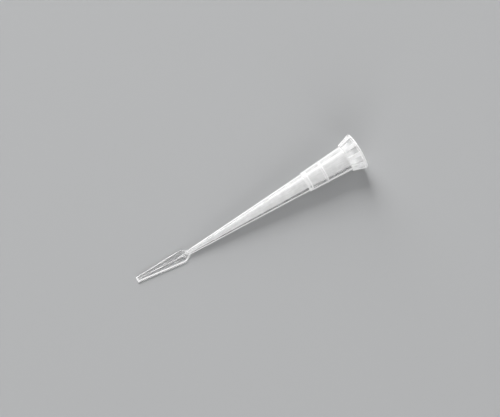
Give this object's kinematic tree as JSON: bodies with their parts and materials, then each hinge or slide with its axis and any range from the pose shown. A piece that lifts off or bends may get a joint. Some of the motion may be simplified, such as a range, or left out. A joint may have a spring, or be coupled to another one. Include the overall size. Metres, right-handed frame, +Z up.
{
  "type": "pipette tip",
  "caption": "Flat gel loading pipette tip of translucent plastic: thin pressed blade, long conical shank, stepped barrel with the nozzle seat, and flared collar with ribs under its lip.",
  "frame": {"origin": "middle of the underside of the box around the tip as it lies on a flat surface", "axes": "+X towards the mouth, along the tip as it lies, +Z up, away from the surface that it lies on; the tip's own axis rises 4.8 degrees from +X"},
  "size_m": [0.058, 0.0086, 0.0087],
  "materials": {
    "polypropylene": "natural translucent polypropylene, moulded, satin"
  },
  "bodies": {
    "root": {"pipette_tip": "polypropylene"}
  },
  "joints": []
}
